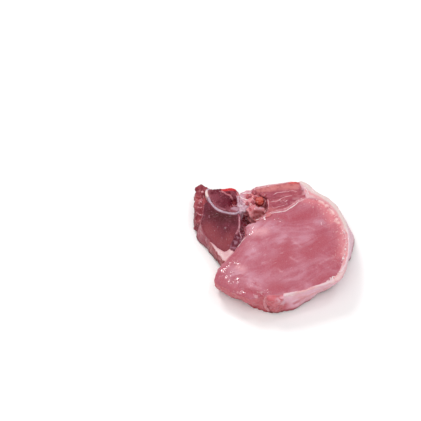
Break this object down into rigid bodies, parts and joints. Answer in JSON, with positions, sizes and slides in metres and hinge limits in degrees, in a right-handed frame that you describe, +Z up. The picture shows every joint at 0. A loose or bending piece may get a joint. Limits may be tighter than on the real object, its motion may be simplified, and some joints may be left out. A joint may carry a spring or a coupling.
{
  "type": "raw pork chop",
  "caption": "Raw bone-in pork loin chop lying flat: a lean eye muscle in a rim of fat, with the vertebra, small back muscles and tenderloin along one side.",
  "frame": {"origin": "under the middle of the bounding box, on the surface that the chop lies on", "axes": "+Z up through the thickness of the chop, +X along its length from the backbone to the fat cap"},
  "size_m": [0.1014, 0.0878, 0.0199],
  "materials": {
    "lean_meat": "wet, smooth, rose-pink",
    "red_meat": "wet, finely fibrous, red",
    "dark_meat": "wet, finely fibrous, maroon",
    "fat": "waxy, cream to lilac-white",
    "connective_tissue": "wet, thin, pinkish white",
    "cartilage": "smooth, lilac-white",
    "bone": "spongy, sawn, stained red with marrow"
  },
  "bodies": {
    "root": {"eye_muscle": "lean_meat", "silver_skin": "connective_tissue", "fat_cap": "fat", "vertebra_body": "bone", "vertebra_cartilage": "cartilage", "tenderloin": "dark_meat", "transverse_process": "cartilage", "side_muscle": "dark_meat", "dorsal_muscle_upper": "red_meat", "dorsal_muscle_middle": "red_meat", "dorsal_muscle_lower": "red_meat", "vertebra_arch": "bone", "canal_tissue": "dark_meat", "flank_fat": "fat", "trim_meat": "red_meat", "rim_muscle": "red_meat"}
  },
  "joints": []
}
